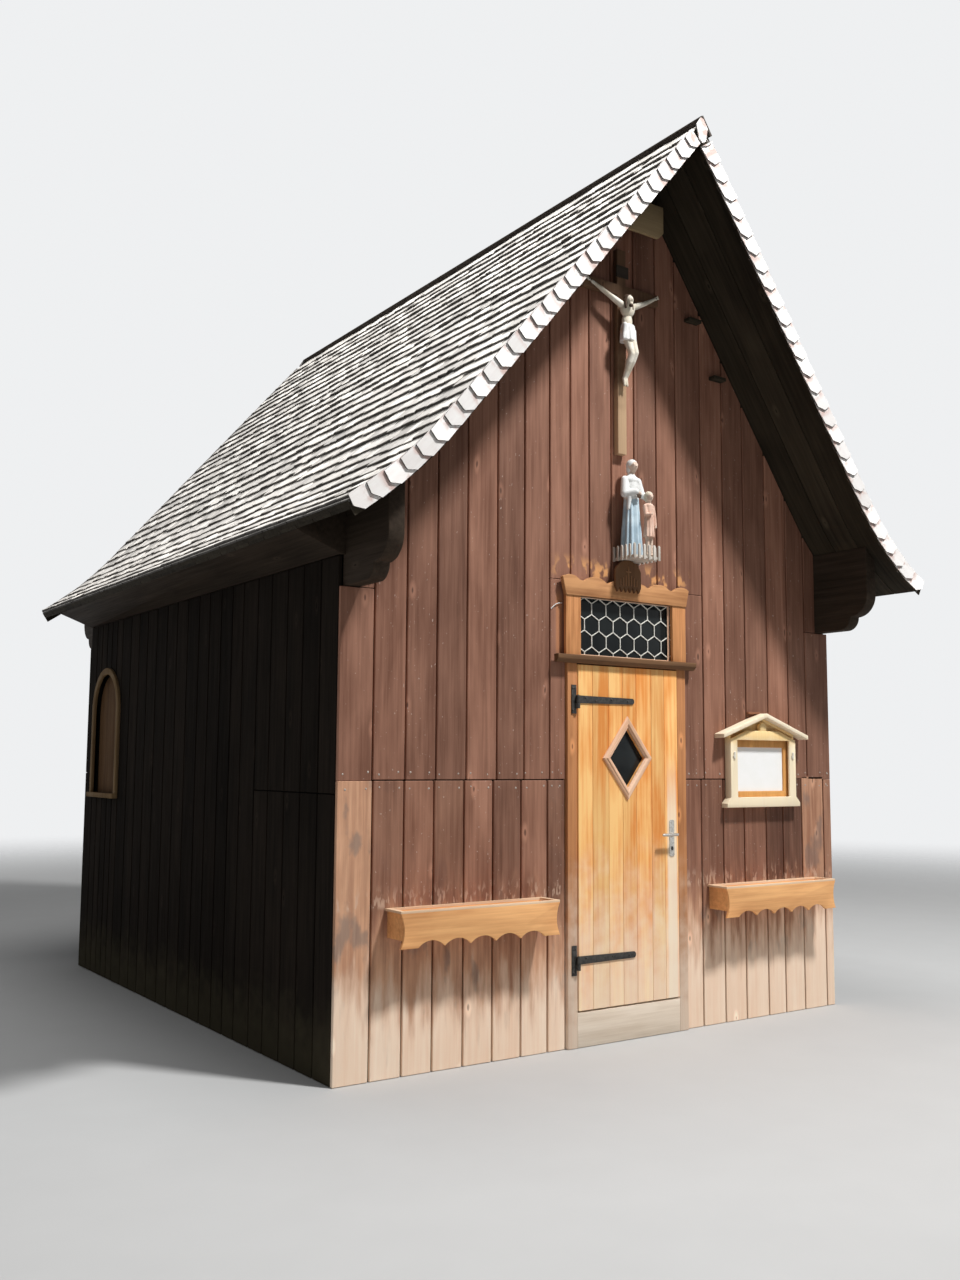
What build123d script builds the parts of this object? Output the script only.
from build123d import *
import os
from math import atan2, cos, hypot, sin, sqrt

# Small wooden chapel. Millimetres, +Z up, the front faces -Y.
# The origin is on the ground plane, in the middle of the walls' footprint.

# Driving dimensions of the walls
wall_width = 3850
wall_depth = 4330
wall_thickness = 120
cladding = 25
plate_drop = 165

# Floor
floor_top = 190
floor_thickness = 30
joist_width = 80
joist_count = 5

# Roof
ridge_offset = 150
ridge_height = 5520
flare_rise = 487
flare_run = 550
eave_height = 2870
soffit_below_eave = 165
eave_overhang = 300
front_overhang = 600
rear_overhang = 450
roof_thickness = 75
verge_thickness = 24
verge_width = 110
ridge_cap_width = 130
ridge_strip_width = 34
ridge_cap_thickness = 18
soffit_thickness = 20
purlin_width = 120
purlin_height = 340
purlin_reach = 100

# Wall plates with carved heads
head_reach = 440
lower_lobe_reach = 300
lower_lobe_height = 85
rear_head_reach = 300

# Doorway, door leaf and the transom window over it
door_x = 47
leaf_width = 800
leaf_height = 2000
leaf_thickness = 40
leaf_bottom = 206
leaf_gap = 5
leaf_stands_out = 25
post_width = 71
post_stands_out = 20
threshold_gap = 8
cap_height = 48
cap_half_width = 557
casing_from_door = -20
cap_reach = 62
transom_rail = 87
transom_glass_thickness = 8
casing_inner_half = 372
casing_outer_half = 484
casing_thickness = 22
head_board_lap = 6
head_board_height = 123
head_board_top_half = 512
head_board_foot_half = 487
head_board_thickness = 28
head_board_wave = 30

# Door fittings
strap_length = 430
strap_thickness = 6
strap_root_height = 46
strap_tip_height = 36
upper_strap_z = 1998
lower_strap_z = 492
pin_radius = 6
pin_clearance = 0.08
eye_radius = 12
pin_from_leaf = 14
pintle_plate_height = 170
pintle_plate_width = 36
pintle_collar_height = 30
diamond_from_middle = -20
diamond_z = 1656
diamond_half_width = 139
diamond_half_height = 180
diamond_moulding = 45
diamond_stands_out = 16
diamond_glass_thickness = 6
handle_from_edge = 59
handle_z = 1168
handle_plate_height = 222
handle_plate_width = 40
handle_plate_thickness = 4
lever_over_plate_middle = 23
lever_length = 115
lever_radius = 9
lever_reach = 48
spindle_radius = 8
spindle_clearance = 0.08
spindle_bore = 11

# Crucifix and statue group, one above the other between the head board and the ridge
cross_x = -7
cross_beam_width = 70
cross_thickness = 40
cross_below_ridge = 680
cross_over_statue = 34
cross_arm_share = 0.798
cross_arm_half = 310
corpus_share = 0.458
console_x = 13
console_over_head_board = 125
console_height = 200
console_width = 206
console_thickness = 16
console_rise = 71
console_web_height = 100
platform_from_console = 37
platform_width = 215
platform_depth = 195
platform_thickness = 16
picket_height = 70
picket_hang = 8
picket_width = 16
picket_thickness = 9
picket_count = 6
adult_height = 615
adult_width = 144
adult_from_console = 13
adult_from_wall = 80
child_height = 412
child_width = 70
child_from_console = 95
child_from_wall = 148

# Board under the ridge, on the front of the purlin
gable_board_x = 15
gable_board_half = 265
gable_board_below_ridge = 355
gable_board_height = 215
gable_board_thickness = 22
gable_board_chamfer = 42

# Notice box
notice_x = 1201
notice_width = 620
notice_bottom = 1411
notice_side_height = 412
notice_depth = 54
notice_wall = 18
notice_back = 8
notice_face = 16
notice_post_width = 62
notice_opening_height = 370
notice_shoulder_height = 374
notice_rail_rise = 58
notice_rail_top_half = 152
notice_door_lap = 28
notice_door_stile = 55
notice_door_foot = 38
notice_door_head = 74
notice_door_thickness = 14
notice_roof_half = 403
notice_roof_rise = 140
notice_roof_thickness = 26
notice_roof_reach = 87
notice_sill_half = 347
notice_sill_height = 65
notice_sill_edge = 26

# Flower boxes
flower_x = (-1119, 1232)
flower_length = 1030
flower_top = 865
flower_height = 190
flower_depth = 167
flower_board = 16
flower_rim_thickness = 12
flower_rim_width = 27
flower_side_inset = 16
flower_floor_height = 40
flower_foot_width = 105
flower_scallop_rise = 34
flower_scallop_gap = 22
flower_scallop_count = 5
flower_side_sweep = 22

# Arched side windows
window_from_rear = 500
window_half_width = 270
window_spring = 2022
window_bottom = 1375
window_frame_width = 50
window_frame_reach = 22
window_sill_height = 36
window_panel_thickness = 28
window_panel_setback = 30

half_width = wall_width / 2
half_depth = wall_depth / 2
front = -half_depth
rear = half_depth
inner_half_width = half_width - wall_thickness
inner_half_depth = half_depth - wall_thickness
leaf_top = leaf_bottom + leaf_height
opening_half = leaf_width / 2 + leaf_gap + post_width
roof_front = front - front_overhang
roof_rear = rear + rear_overhang
eave_half = half_width + eave_overhang
window_y = rear - window_from_rear
knee_height = eave_height + flare_rise
soffit_height = eave_height - soffit_below_eave
plate_bottom = soffit_height - plate_drop
gable_base = soffit_height

# Heights of the front, each built up from the one below it
cap_bottom = leaf_top + leaf_gap
cap_top = cap_bottom + cap_height
transom_glass_top = gable_base - transom_rail
head_board_bottom = transom_glass_top - head_board_lap
head_board_top = head_board_bottom + head_board_height
console_top = head_board_top + console_over_head_board
platform_top = console_top + platform_thickness
cross_bottom = platform_top + adult_height + cross_over_statue
cross_top = ridge_height - cross_below_ridge
cross_height = cross_top - cross_bottom
cross_arm_z = cross_bottom + cross_height * cross_arm_share

os.makedirs("parts", exist_ok=True)


def save(name, shape):
    solids = shape.solids()
    body = solids[0] if len(solids) == 1 else Compound(children=list(solids))
    export_step(body, f"parts/{name}.step")


def block(x0, x1, y0, y1, z0, z1):
    """A box between two corners."""
    return Pos((x0 + x1) / 2, (y0 + y1) / 2, (z0 + z1) / 2) * Box(x1 - x0, y1 - y0, z1 - z0)


def along_y(face, y0, y1):
    """Extrude a face drawn in the XZ plane from y0 to y1."""
    return Pos(0, y0, 0) * extrude(face, amount=y1 - y0, dir=(0, 1, 0))


def along_x(face, x0, x1):
    """Extrude a face drawn in the YZ plane from x0 to x1."""
    return Pos(x0, 0, 0) * extrude(face, amount=x1 - x0, dir=(1, 0, 0))


def xz(*points):
    return [Vector(x, 0, z) for x, z in points]


def yz(*points):
    return [Vector(0, y, z) for y, z in points]


def polygon(points):
    return make_face(Polyline(*points, close=True).edges())


# Roof section

def roof_line(side, depth):
    """Ridge, knee and eave points of a slope and its tangent, at a depth under the outer face.

    side is -1 for the left slope and 1 for the right one.
    """
    run = eave_half - side * ridge_offset - flare_run
    drop = ridge_height - knee_height
    slope = hypot(run, drop)
    tangent = Vector(side * run / slope, 0, -drop / slope)
    knee = Vector(ridge_offset + side * run, 0, knee_height)
    eave = Vector(side * eave_half, 0, eave_height)
    chord_angle = atan2(knee_height - eave_height, flare_run)
    eave_angle = 2 * chord_angle - atan2(drop, run)
    under_knee = Vector(side * tangent.Z, 0, -side * tangent.X) * depth
    under_eave = Vector(-side * sin(eave_angle), 0, -cos(eave_angle)) * depth
    ridge = Vector(ridge_offset, 0, ridge_height - depth * slope / run)
    return ridge, knee + under_knee, eave + under_eave, tangent


def slope_edges(side, depth):
    ridge, knee, eave, tangent = roof_line(side, depth)
    return ridge, eave, [Line(ridge, knee), TangentArc(knee, eave, tangent=tangent)]


def slope_face(side, upper, lower):
    """Section of one slope between two depths under the outer face."""
    top_ridge, top_eave, top = slope_edges(side, upper)
    low_ridge, low_eave, low = slope_edges(side, lower)
    ends = [Line(top_eave, low_eave), Line(low_ridge, top_ridge)]
    return make_face(top + low + ends)


def under_roof(z0):
    """The whole section below both slopes, down to a level."""
    left_ridge, left_eave, left = slope_edges(-1, roof_thickness)
    right_ridge, right_eave, right = slope_edges(1, roof_thickness)
    left_foot, right_foot = Vector(left_eave.X, 0, z0), Vector(right_eave.X, 0, z0)
    ends = [Line(left_ridge, right_ridge), Line(left_eave, left_foot),
            Line(left_foot, right_foot), Line(right_foot, right_eave)]
    return make_face(left + right + ends)


def fit_under_roof(shape, z0):
    """Keep what lies below the roof boards."""
    return shape & along_y(under_roof(z0), roof_front - head_reach, roof_rear + head_reach)


roof_slopes ={"left": -1, "right": 1}
for name, side in roof_slopes.items():
    slab = along_y(slope_face(side, 0, roof_thickness), roof_front + verge_thickness,
                   roof_rear - verge_thickness)
    save(f"roof_{name}", slab)
    verge = slope_face(side, 0, verge_width)
    verges = along_y(verge, roof_front, roof_front + verge_thickness)
    verges += along_y(verge, roof_rear - verge_thickness, roof_rear)
    save(f"verge_{name}", verges)


def ridge_cap():
    """Board over the ridge on the right slope, with a narrow strip on the left one."""
    boards = None
    for side, width in ((-1, ridge_strip_width), (1, ridge_cap_width)):
        ridge, knee, eave, tangent = roof_line(side, 0)
        outward = Vector(-side * tangent.Z, 0, side * tangent.X)
        outer_ridge = roof_line(side, -ridge_cap_thickness)[0]
        foot = ridge + tangent * width
        face = polygon([ridge, foot, foot + outward * ridge_cap_thickness, outer_ridge])
        board = along_y(face, roof_front, roof_rear)
        boards = board if boards is None else boards + board
    return boards


save("ridge_cap", ridge_cap())

purlin_left = ridge_offset - purlin_width / 2
purlin_bottom = ridge_height - purlin_height
purlin_front = front - purlin_reach
purlin_beam = block(purlin_left, purlin_left + purlin_width, purlin_front, rear + purlin_reach,
                    purlin_bottom, ridge_height)
ridge_purlin = fit_under_roof(purlin_beam, gable_base)
save("ridge_purlin", ridge_purlin)


# Wall plates: the beams on the side walls, with a carved head at each end

def plate(side):
    outer = half_width - cladding
    inner = inner_half_width
    x0, x1 = sorted((side * outer, side * inner))
    beam = block(x0, x1, front - head_reach, rear + rear_head_reach, plate_bottom, knee_height)
    beam = fit_under_roof(beam, plate_bottom)
    for end, reach in ((front, head_reach), (rear, rear_head_reach)):
        beam -= along_x(head_waste(end, reach), x0, x1)
    return beam


def head_waste(end, reach):
    """What is cut away below a head: two rounded lobes, one above the other."""
    out = -1 if end < 0 else 1
    low = reach - (head_reach - lower_lobe_reach)
    lobe = lower_lobe_height
    z0 = plate_bottom
    shelf = z0 + lobe
    upper = reach - low
    edges = [
        Line((0, end + out * (low - lobe), z0), (0, end + out * (reach + 1), z0)),
        Line((0, end + out * (reach + 1), z0), (0, end + out * (reach + 1), shelf + upper)),
        Line((0, end + out * (reach + 1), shelf + upper), (0, end + out * reach, shelf + upper)),
        ThreePointArc((0, end + out * reach, shelf + upper),
                      (0, end + out * (reach - upper * (1 - sqrt(0.5))), shelf + upper * (1 - sqrt(0.5))),
                      (0, end + out * low, shelf)),
        ThreePointArc((0, end + out * low, shelf),
                      (0, end + out * (low - lobe * (1 - sqrt(0.5))), z0 + lobe * (1 - sqrt(0.5))),
                      (0, end + out * (low - lobe), z0)),
    ]
    return make_face(edges)


plates = {name: plate(side) for name, side in roof_slopes.items()}
for name, beam in plates.items():
    save(f"{name}_plate", beam)


# Walls

def gable(y0, y1):
    """Gable wall between the two plates, notched for the ridge purlin."""
    wall = block(-inner_half_width, inner_half_width, y0, y1, gable_base, ridge_height)
    return fit_under_roof(wall, gable_base) - ridge_purlin


def low_wall(x0, x1, y0, y1):
    wall = block(x0, x1, y0, y1, 0, gable_base)
    for beam in plates.values():
        wall -= beam
    return wall


save("front_wall_left", low_wall(-half_width, door_x - opening_half, front, front + wall_thickness))
save("front_wall_right", low_wall(door_x + opening_half, half_width, front, front + wall_thickness))
save("front_gable", gable(front, front + wall_thickness))
save("rear_wall", low_wall(-half_width, half_width, rear - wall_thickness, rear))
save("rear_gable", gable(rear - wall_thickness, rear))


def arch(half, bottom):
    """Round-headed outline in the YZ plane."""
    y0, y1 = window_y - half, window_y + half
    spring = window_spring
    edges = [
        Line((0, y0, bottom), (0, y1, bottom)),
        Line((0, y1, bottom), (0, y1, spring)),
        ThreePointArc((0, y1, spring), (0, window_y, spring + half), (0, y0, spring)),
        Line((0, y0, spring), (0, y0, bottom)),
    ]
    return make_face(edges)


def side_wall(side):
    outer = side * half_width
    skin = side * (half_width - cladding)
    inner = side * inner_half_width
    x0, x1 = sorted((outer, inner))
    s0, s1 = sorted((outer, skin))
    y0, y1 = -inner_half_depth, inner_half_depth
    wall = block(x0, x1, y0, y1, 0, plate_bottom)
    wall += block(s0, s1, y0, y1, plate_bottom, soffit_height)
    return wall - along_x(arch(window_half_width, window_bottom), x0, x1)


def window_frame(side):
    """Casing round the arched opening, on the outer face, with its sill."""
    x0, x1 = sorted((side * half_width, side * (half_width + window_frame_reach)))
    outer = arch(window_half_width + window_frame_width, window_bottom)
    ring = along_x(outer, x0, x1) - along_x(arch(window_half_width, window_bottom), x0, x1)
    s0, s1 = sorted((side * half_width, side * (half_width + 2 * window_frame_reach)))
    reach = window_half_width + window_frame_width
    sill_bottom = window_bottom - window_sill_height
    sill = block(s0, s1, window_y - reach, window_y + reach, sill_bottom, window_bottom)
    return ring + sill


def window_panel(side):
    outer = half_width - window_panel_setback
    x0, x1 = sorted((side * outer, side * (outer - window_panel_thickness)))
    return along_x(arch(window_half_width, window_bottom), x0, x1)


def eave_soffit(side):
    """Sloping boards under the eave, with a board that closes each end of the eave."""
    eave = roof_line(side, roof_thickness)[2]
    inner = Vector(side * half_width, 0, soffit_height)
    outer = Vector(eave.X, 0, eave.Z)
    rise = Vector(0, 0, soffit_thickness)
    shape = along_y(polygon([inner, outer - rise * 0.2, outer, inner + rise]), front, rear)
    corner = Vector(side * (half_width - cladding), 0, soffit_height)
    top = Vector(0, 0, knee_height - soffit_height)
    end = polygon([corner, inner, inner + rise, outer, outer + top, corner + top])
    for y in (front, rear - soffit_thickness):
        shape += along_y(end, y, y + soffit_thickness)
    return fit_under_roof(shape, plate_bottom)


for name, side in roof_slopes.items():
    save(f"{name}_wall", side_wall(side))
    save(f"{name}_window_frame", window_frame(side))
    save(f"{name}_window_panel", window_panel(side))
    save(f"{name}_eave_soffit", eave_soffit(side))


# Floor: boards on joists that stand on the ground

def floor():
    top = block(-inner_half_width, inner_half_width, -inner_half_depth, inner_half_depth,
                floor_top - floor_thickness, floor_top)
    pitch = (2 * inner_half_width - joist_width) / (joist_count - 1)
    for i in range(joist_count):
        x = -inner_half_width + joist_width / 2 + i * pitch
        top += block(x - joist_width / 2, x + joist_width / 2, -inner_half_depth, inner_half_depth,
                     0, floor_top - floor_thickness)
    return top


save("floor", floor())


# Door frame and transom

post_front = front - post_stands_out
frame_back = front + wall_thickness
casing_x = door_x + casing_from_door
post_inner = leaf_width / 2 + leaf_gap
leaf_front = front - leaf_stands_out

posts = block(door_x - opening_half, door_x - post_inner, post_front, frame_back, 0, gable_base)
posts += block(door_x + post_inner, door_x + opening_half, post_front, frame_back, 0, gable_base)
save("door_posts", posts)

threshold = block(door_x - post_inner, door_x + post_inner, post_front, frame_back,
                  0, leaf_bottom - threshold_gap)
save("threshold", threshold)


def door_cap():
    """Moulded rail between the door and the transom window."""
    rail = block(door_x - post_inner, door_x + post_inner, post_front, frame_back, cap_bottom, cap_top)
    lip_front = post_front - casing_thickness
    nose = polygon(yz((post_front, cap_bottom), (lip_front, cap_bottom),
                      (front - cap_reach, cap_bottom + cap_height * 0.45), (front - cap_reach, cap_top),
                      (post_front, cap_top)))
    return rail + along_x(nose, casing_x - cap_half_width, casing_x + cap_half_width)


save("door_cap", door_cap())


def transom_casing():
    """Side casings and carved head board round the transom window."""
    y0, y1 = post_front - casing_thickness, post_front
    inner, outer = casing_inner_half, casing_outer_half
    sides = block(casing_x - outer, casing_x - inner, y0, y1, cap_top, head_board_bottom)
    sides += block(casing_x + inner, casing_x + outer, y0, y1, cap_top, head_board_bottom)
    return sides + along_y(head_board(), y1 - head_board_thickness, y1)


def head_board():
    """Board with splayed ends and a top edge carved in humps and hollows, the same on both sides."""
    half = head_board_top_half
    level = head_board_top - head_board_wave * 0.6
    hump, hollow = head_board_top, head_board_top - head_board_wave
    stops = [share * half for share in (-1, -0.77, -0.64, -0.37, -0.27, 0.27, 0.37, 0.64, 0.77, 1)]
    edges = []
    for i, (a, b) in enumerate(zip(stops, stops[1:])):
        middle = hollow if i % 2 else hump
        left, top, right = xz((casing_x + a, level), (casing_x + (a + b) / 2, middle), (casing_x + b, level))
        edges.append(ThreePointArc(left, top, right))
    corners = xz((casing_x + half, level), (casing_x + head_board_foot_half, head_board_bottom),
                 (casing_x - head_board_foot_half, head_board_bottom), (casing_x - half, level))
    edges += [Line(a, b) for a, b in zip(corners, corners[1:])]
    return make_face(edges)


save("transom_casing", transom_casing())

transom_head = block(door_x - post_inner, door_x + post_inner, post_front, frame_back,
                     transom_glass_top, gable_base)
save("transom_head", transom_head)
transom_glass = block(door_x - post_inner, door_x + post_inner, front, front + transom_glass_thickness,
                      cap_top, transom_glass_top)
save("transom_glass", transom_glass)


# Door leaf and its fittings

diamond_x = door_x + diamond_from_middle


def diamond(half_x, half_z):
    return polygon(xz((diamond_x - half_x, diamond_z), (diamond_x, diamond_z - half_z),
                      (diamond_x + half_x, diamond_z), (diamond_x, diamond_z + half_z)))


handle_x = door_x + leaf_width / 2 - handle_from_edge
lever_z = handle_z + lever_over_plate_middle
leaf_back = leaf_front + leaf_thickness
through_leaf = Pos(handle_x, leaf_front, lever_z) * Rot(90, 0, 0)
spindle_hole = through_leaf * Cylinder(spindle_bore, 4 * leaf_thickness)

leaf = block(door_x - leaf_width / 2, door_x + leaf_width / 2, leaf_front, leaf_back, leaf_bottom, leaf_top)
leaf -= along_y(diamond(diamond_half_width, diamond_half_height), leaf_front, leaf_back)
leaf -= spindle_hole
save("door_leaf", leaf)

# The moulding is as wide across its edges all round, so its tips reach further out.
diamond_growth = diamond_moulding * hypot(diamond_half_width, diamond_half_height)
outer_half_x = diamond_half_width + diamond_growth / diamond_half_height
outer_half_z = diamond_half_height + diamond_growth / diamond_half_width
moulding = along_y(diamond(outer_half_x, outer_half_z), leaf_front - diamond_stands_out, leaf_front)
pane = diamond(diamond_half_width, diamond_half_height)
moulding -= along_y(pane, leaf_front - diamond_stands_out, leaf_front)
save("diamond_frame", moulding)
glass_front = leaf_front + (leaf_thickness - diamond_glass_thickness) / 2
save("diamond_glass", along_y(pane, glass_front, glass_front + diamond_glass_thickness))

pin_x = door_x - leaf_width / 2 - eye_radius
pin_y = leaf_front - pin_from_leaf


def strap(z):
    """Tapered strap on the leaf, with an eye round the pin."""
    root, tip = strap_root_height / 2, strap_tip_height / 2
    x0, x1 = pin_x, pin_x + strap_length
    outline = make_face([
        Line((x0, 0, z - root), (x1, 0, z - tip)),
        ThreePointArc((x1, 0, z - tip), (x1 + tip, 0, z), (x1, 0, z + tip)),
        Line((x1, 0, z + tip), (x0, 0, z + root)),
        Line((x0, 0, z + root), (x0, 0, z - root)),
    ])
    bar = along_y(outline, leaf_front - strap_thickness, leaf_front)
    eye = Pos(pin_x, pin_y, z) * Cylinder(eye_radius, strap_root_height)
    bore = Pos(pin_x, pin_y, z) * Cylinder(pin_radius + pin_clearance, 2 * strap_root_height)
    web = block(pin_x, pin_x + eye_radius, pin_y, leaf_front - strap_thickness,
                z - strap_root_height / 2, z + strap_root_height / 2)
    return bar + eye + web - bore


def pintle(z):
    """Plate on the post that carries the pin, with a collar under the eye."""
    plate_right = pin_x - 2
    plate_front = post_front - strap_thickness
    base = block(plate_right - pintle_plate_width, plate_right, plate_front, post_front,
                 z - pintle_plate_height / 2, z + pintle_plate_height / 2)
    collar_top = z - strap_root_height / 2 - 1
    collar_bottom = collar_top - pintle_collar_height
    collar = Pos(pin_x, pin_y, (collar_top + collar_bottom) / 2) * Cylinder(eye_radius, pintle_collar_height)
    pin_top = z + strap_root_height / 2 + 3
    pin = Pos(pin_x, pin_y, (pin_top + collar_bottom) / 2) * Cylinder(pin_radius, pin_top - collar_bottom)
    arm = block(plate_right - eye_radius, pin_x, pin_y, post_front, collar_bottom, collar_top)
    return base + arm + collar + pin


save("strap_hinges", strap(upper_strap_z) + strap(lower_strap_z))
save("hinge_pins", pintle(upper_strap_z) + pintle(lower_strap_z))


def handle_plates():
    """A long plate on each face of the leaf, with the spindle's hole."""
    both = None
    for y0, y1 in ((leaf_front - handle_plate_thickness, leaf_front),
                   (leaf_back, leaf_back + handle_plate_thickness)):
        shape = block(handle_x - handle_plate_width / 2, handle_x + handle_plate_width / 2, y0, y1,
                      handle_z - handle_plate_height / 2, handle_z + handle_plate_height / 2)
        shape = fillet(shape.edges().filter_by(Axis.Y), handle_plate_width * 0.3)
        both = shape if both is None else both + shape
    return both - through_leaf * Cylinder(spindle_radius + spindle_clearance, 6 * leaf_thickness)


def lever():
    """Spindle through the leaf with a lever at each end, both pointing to the hinges."""
    y0 = leaf_front - handle_plate_thickness - lever_reach
    y1 = leaf_back + handle_plate_thickness + lever_reach
    shape = Pos(handle_x, (y0 + y1) / 2, lever_z) * Rot(90, 0, 0) * Cylinder(spindle_radius, y1 - y0)
    for y in (y0, y1):
        grip = Pos(handle_x - lever_length / 2, y, lever_z) * Rot(0, 90, 0)
        shape += grip * Cylinder(lever_radius, lever_length)
        shape += Pos(handle_x, y, lever_z) * Sphere(lever_radius)
        shape += Pos(handle_x - lever_length, y, lever_z) * Sphere(lever_radius)
    return shape


save("handle_plates", handle_plates())
save("lever", lever())


# Crucifix

cross_back = front
cross_face = front - cross_thickness
cross = block(cross_x - cross_beam_width / 2, cross_x + cross_beam_width / 2, cross_face, cross_back,
              cross_bottom, cross_top)
cross += block(cross_x - cross_arm_half, cross_x + cross_arm_half, cross_face, cross_back,
               cross_arm_z - cross_beam_width / 2, cross_arm_z + cross_beam_width / 2)
save("cross", cross)


def limb(a, b, r0, r1):
    """A round tapered limb between two points, with ball ends."""
    start, end = Vector(*a), Vector(*b)
    axis = end - start
    plane = Plane(origin=start, z_dir=axis)
    shaft = loft([plane * Circle(r0), plane.offset(axis.length) * Circle(r1)])
    return shaft + Pos(*a) * Sphere(r0) + Pos(*b) * Sphere(r1)


corpus_height = cross_height * corpus_share
hand_radius = corpus_height * 0.023
foot_radius = corpus_height * 0.030


def corpus():
    """Carved figure on the cross: trunk, bowed head, arms, bent legs and a loincloth.

    Every length is a share of the height from the arms down to the feet.
    """
    h = corpus_height
    x, y = cross_x, cross_face - 0.08 * h
    hip, chest = cross_arm_z - 0.45 * h, cross_arm_z - 0.24 * h
    body = limb((x + 0.005 * h, y, hip), (x, y, chest), 0.062 * h, 0.080 * h)
    body += limb((x, y, chest), (x - 0.01 * h, y - 0.03 * h, chest + 0.07 * h), 0.045 * h, 0.034 * h)
    body += Pos(x - 0.015 * h, y - 0.055 * h, cross_arm_z - 0.152 * h) * Sphere(0.060 * h)
    for side in (-1, 1):
        hand = (x + side * 0.465 * h, cross_face - hand_radius + 1, cross_arm_z + 0.01 * h)
        elbow = (x + side * 0.26 * h, y + 0.02 * h, cross_arm_z - 0.118 * h)
        body += limb((x + side * 0.065 * h, y, cross_arm_z - 0.195 * h), elbow, 0.036 * h, 0.029 * h)
        body += limb(elbow, hand, 0.029 * h, hand_radius)
    knee_z = cross_arm_z - 0.71 * h
    foot = (x, cross_face - foot_radius + 1, cross_arm_z - h)
    right_knee, left_knee = (x + 0.062 * h, y - 0.058 * h, knee_z), (x + 0.012 * h, y - 0.05 * h, knee_z)
    body += limb((x + 0.035 * h, y, hip), right_knee, 0.056 * h, 0.042 * h)
    body += limb(right_knee, foot, 0.042 * h, foot_radius)
    body += limb((x - 0.025 * h, y, hip), left_knee, 0.056 * h, 0.040 * h)
    body += limb(left_knee, foot, 0.040 * h, foot_radius)
    cloth_top, cloth_hem = (x, y - 0.01 * h, hip + 0.02 * h), (x + 0.01 * h, y - 0.02 * h, hip - 0.10 * h)
    return body + limb(cloth_top, cloth_hem, 0.080 * h, 0.088 * h)


figure = corpus() - cross
save("corpus", figure)


# Console, platform with a small picket fence, and the two statues

head_board_front = post_front - head_board_thickness
platform_x = console_x + platform_from_console


def console():
    """Arched board with a toothed fringe on the head board, and a block between it and the wall."""
    half = console_width / 2
    tooth = console_width / 6
    low = console_top - console_height
    spring = console_top - console_rise
    points = [(console_x + half, low + tooth)]
    for i in reversed(range(6)):
        points.append((console_x - half + (i + 0.5) * tooth, low))
        points.append((console_x - half + i * tooth, low + tooth))
    edges = [Line(a, b) for a, b in zip(xz(*points), xz(*points[1:]))]
    left, right = xz((console_x - half, spring), (console_x + half, spring))
    edges.append(Line(xz(points[-1])[0], left))
    edges.append(ThreePointArc(left, (console_x, 0, console_top), right))
    edges.append(Line(right, xz(points[0])[0]))
    board = along_y(make_face(edges), head_board_front - console_thickness, head_board_front)
    web = block(platform_x - console_thickness, platform_x + console_thickness, head_board_front, front,
                console_top - console_web_height, console_top)
    return board + web


save("console", console())


def platform():
    """Shelf with pickets along its front and both sides, their feet hanging below it."""
    x0, x1 = platform_x - platform_width / 2, platform_x + platform_width / 2
    y0 = front - platform_depth
    t = picket_thickness
    shelf = block(x0 + t, x1 - t, y0 + t, front, console_top, platform_top)
    row = along_y(picket(), y0, y0 + t)
    pitch = (platform_width - picket_width) / (picket_count - 1)
    for i in range(picket_count):
        shelf += Pos(x0 + picket_width / 2 + i * pitch, 0, 0) * row
    row = Rot(0, 0, 90) * along_y(picket(), -t, 0)
    pitch = (platform_depth - picket_width) / (picket_count - 1)
    for i in range(1, picket_count):
        y = y0 + picket_width / 2 + i * pitch
        shelf += Pos(x0, y, 0) * row + Pos(x1 - t, y, 0) * row
    return shelf


def picket():
    """Outline of one pointed picket about its middle."""
    half, tip = picket_width / 2, platform_top + picket_height
    foot = console_top - picket_hang
    return polygon(xz((-half, foot), (half, foot), (half, tip - half), (0, tip), (-half, tip - half)))


save("statue_platform", platform())


def robed_figure(x, y, z, height, width):
    """Standing figure in a long robe: lofted ovals from hem over folded arms to the neck, and a head."""
    sections = ((0, 1.0, 0.9), (0.3, 0.86, 0.76), (0.52, 0.80, 0.72), (0.64, 1.06, 0.86), (0.78, 0.92, 0.62),
                (0.85, 0.42, 0.38))
    ovals = []
    for level, wide, deep in sections:
        plane = Plane(origin=(x, y, z + level * height), z_dir=(0, 0, 1))
        ovals.append(plane * Ellipse(width / 2 * wide, width / 2 * deep))
    robe = loft(ovals, ruled=True)
    head = height * 0.072
    neck = Pos(x, y, z + height * 0.86) * Cylinder(head * 0.6, height * 0.06)
    return robe + neck + Pos(x, y, z + height - head) * Sphere(head)


adult_y, child_y = front - adult_from_wall, front - child_from_wall
adult_x, child_x = console_x + adult_from_console, console_x + child_from_console
save("adult_statue", robed_figure(adult_x, adult_y, platform_top, adult_height, adult_width))
save("child_statue", robed_figure(child_x, child_y, platform_top, child_height, child_width))


# Board under the ridge, left bare

def gable_board():
    z1 = ridge_height - gable_board_below_ridge
    z0 = z1 - gable_board_height
    left, right = gable_board_x - gable_board_half, gable_board_x + gable_board_half
    cut = gable_board_chamfer
    face = polygon(xz((left + cut, z0), (right - cut, z0), (right, z0 + cut), (right, z1), (left, z1),
                      (left, z0 + cut)))
    return fit_under_roof(along_y(face, purlin_front - gable_board_thickness, purlin_front), gable_base)


save("gable_board", gable_board())


# Notice box

notice_top = notice_bottom + notice_side_height
notice_half = notice_width / 2
notice_front = front - notice_depth
notice_slope = notice_roof_rise / notice_roof_half
notice_peak = notice_top + notice_slope * notice_half


def notice_outline(inset):
    """Gabled outline under the roof, open at the foot where it stands on the sill."""
    half = notice_half - inset
    peak = notice_peak - inset * sqrt(1 + notice_slope ** 2)
    side = peak - notice_slope * half
    return polygon(xz((notice_x - half, notice_bottom), (notice_x + half, notice_bottom),
                      (notice_x + half, side), (notice_x, peak), (notice_x - half, side)))


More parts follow.
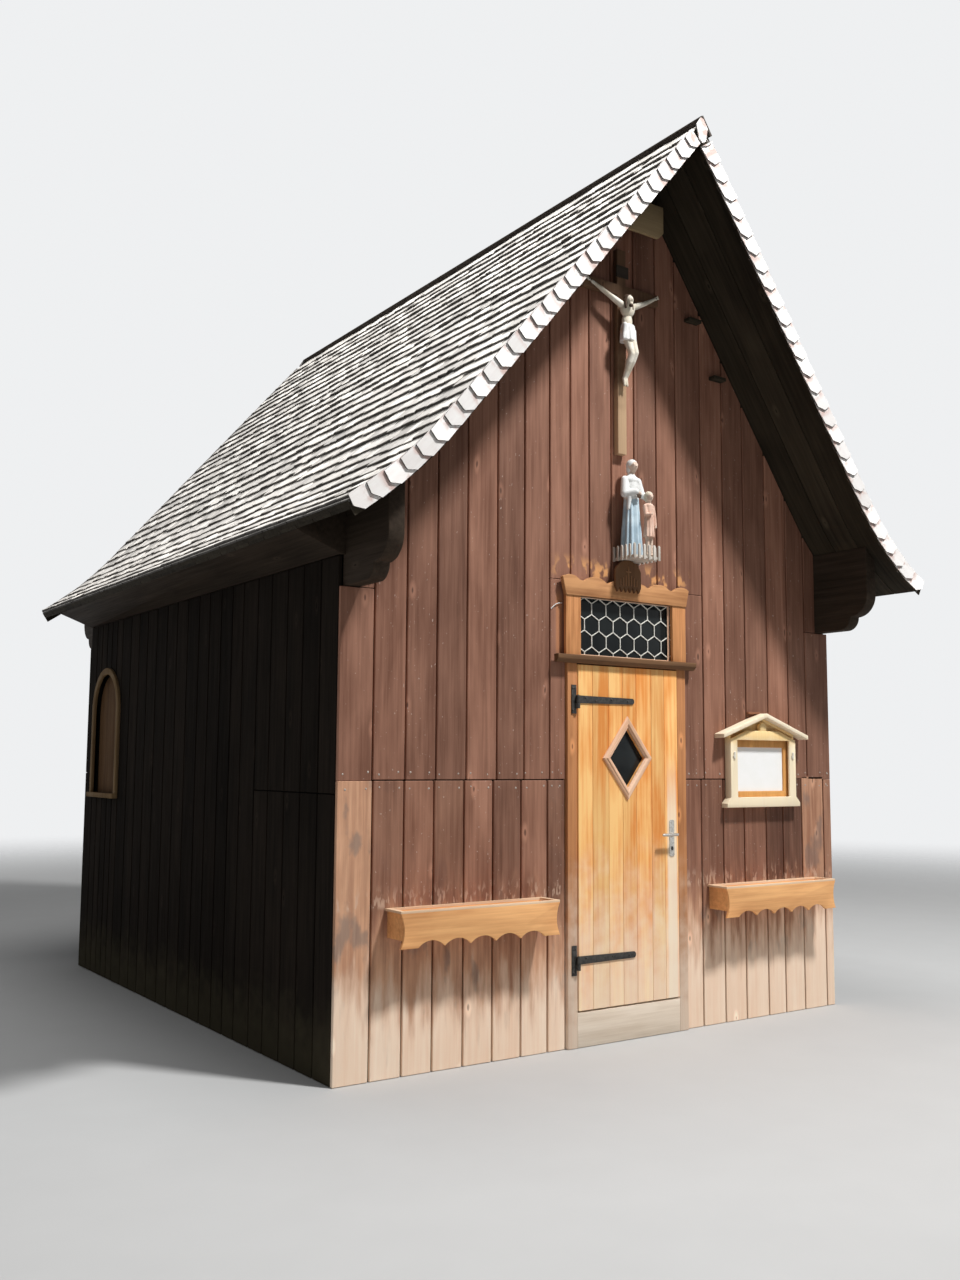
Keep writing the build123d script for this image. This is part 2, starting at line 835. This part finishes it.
def notice_face_board():
    """Two posts and a top rail with sloping shoulders, in front of the case."""
    shoulder = notice_bottom + notice_shoulder_height
    rail_top = shoulder + notice_rail_rise
    opening_half = notice_half - notice_post_width
    face = polygon(xz((notice_x - notice_half, notice_bottom), (notice_x + notice_half, notice_bottom),
                      (notice_x + notice_half, shoulder), (notice_x + notice_rail_top_half, rail_top),
                      (notice_x - notice_rail_top_half, rail_top), (notice_x - notice_half, shoulder)))
    board = along_y(face, notice_front, notice_front + notice_face)
    return board - block(notice_x - opening_half, notice_x + opening_half, notice_front,
                         notice_front + notice_face, notice_bottom, notice_bottom + notice_opening_height)


def notice_sill():
    """Sill whose ends stand out past the case, with sloping shoulders."""
    foot = notice_bottom - notice_sill_height
    edge = foot + notice_sill_edge
    face = polygon(xz((notice_x - notice_sill_half, foot), (notice_x + notice_sill_half, foot),
                      (notice_x + notice_sill_half, edge), (notice_x + notice_half, notice_bottom),
                      (notice_x - notice_half, notice_bottom), (notice_x - notice_sill_half, edge)))
    return along_y(face, notice_front, front)


def notice_case():
    """Gabled box with a back, two posts and a rail in front, on its sill."""
    case = along_y(notice_outline(0), notice_front + notice_face, front)
    case -= along_y(notice_outline(notice_wall), notice_front + notice_face, front - notice_back)
    return case + notice_face_board() + notice_sill()


def notice_roof():
    eave = notice_peak - notice_roof_rise
    rise = notice_roof_thickness * sqrt(1 + notice_slope ** 2)
    left, right = notice_x - notice_roof_half, notice_x + notice_roof_half
    face = polygon(xz((left, eave), (notice_x, notice_peak), (right, eave), (right, eave + rise),
                      (notice_x, notice_peak + rise), (left, eave + rise)))
    return along_y(face, front - notice_roof_reach, front)


def notice_door():
    """Door frame that stands on the sill against the back, wider than the opening between the posts."""
    half = notice_half - notice_post_width + notice_door_lap
    top = notice_bottom + notice_opening_height + notice_door_lap
    y1 = front - notice_back
    y0 = y1 - notice_door_thickness
    frame = block(notice_x - half, notice_x + half, y0, y1, notice_bottom, top)
    return frame - block(notice_x - half + notice_door_stile, notice_x + half - notice_door_stile, y0, y1,
                         notice_bottom + notice_door_foot, top - notice_door_head)


save("notice_case", notice_case())
save("notice_roof", notice_roof())
save("notice_door", notice_door())


# Flower boxes

def flower_apron(x0, x1, z0, z1):
    """Front board: plain feet, a row of scallops between small points, and ends cut in a hollow."""
    rise = flower_scallop_rise
    half_gap = flower_scallop_gap / 2
    pitch = (x1 - x0 - 2 * flower_foot_width) / flower_scallop_count
    edges = [Line(*xz((x0, z0), (x0 + flower_foot_width, z0)))]
    for i in range(flower_scallop_count):
        a = x0 + flower_foot_width + i * pitch
        b = a + pitch
        start, end = (a + half_gap, z0 + rise * 0.3), (b - half_gap, z0 + rise * 0.3)
        edges.append(Line(*xz((a, z0), start)))
        edges.append(ThreePointArc(*xz(start, ((a + b) / 2, z0 + rise), end)))
        edges.append(Line(*xz(end, (b, z0))))
    edges.append(Line(*xz((x1 - flower_foot_width, z0), (x1, z0))))
    middle = (z0 + z1) / 2
    edges.append(ThreePointArc(*xz((x1, z0), (x1 - flower_side_sweep, middle), (x1, z1))))
    edges.append(Line(*xz((x1, z1), (x0, z1))))
    edges.append(ThreePointArc(*xz((x0, z1), (x0 + flower_side_sweep, middle), (x0, z0))))
    return make_face(edges)


def flower_box(x):
    """Open box of thin boards with a scalloped apron in front and a rim round the top."""
    x0, x1 = x - flower_length / 2, x + flower_length / 2
    y0 = front - flower_depth
    z0, rim_bottom = flower_top - flower_height, flower_top - flower_rim_thickness
    apron_back = y0 + flower_board
    end0, end1 = x0 + flower_side_inset, x1 - flower_side_inset
    floor_bottom = z0 + flower_floor_height
    box = along_y(flower_apron(x0, x1, z0, rim_bottom), y0, apron_back)
    box += block(end0, end1, apron_back, front, floor_bottom, rim_bottom)
    box += block(x0, x1, y0, front, rim_bottom, flower_top)
    box -= block(end0 + flower_board, end1 - flower_board, apron_back, front - flower_board,
                 floor_bottom + flower_board, flower_top)
    return box - block(x0 + flower_rim_width, x1 - flower_rim_width, apron_back, front - flower_board,
                       rim_bottom, flower_top)


save("flower_box_left", flower_box(flower_x[0]))
save("flower_box_right", flower_box(flower_x[1]))
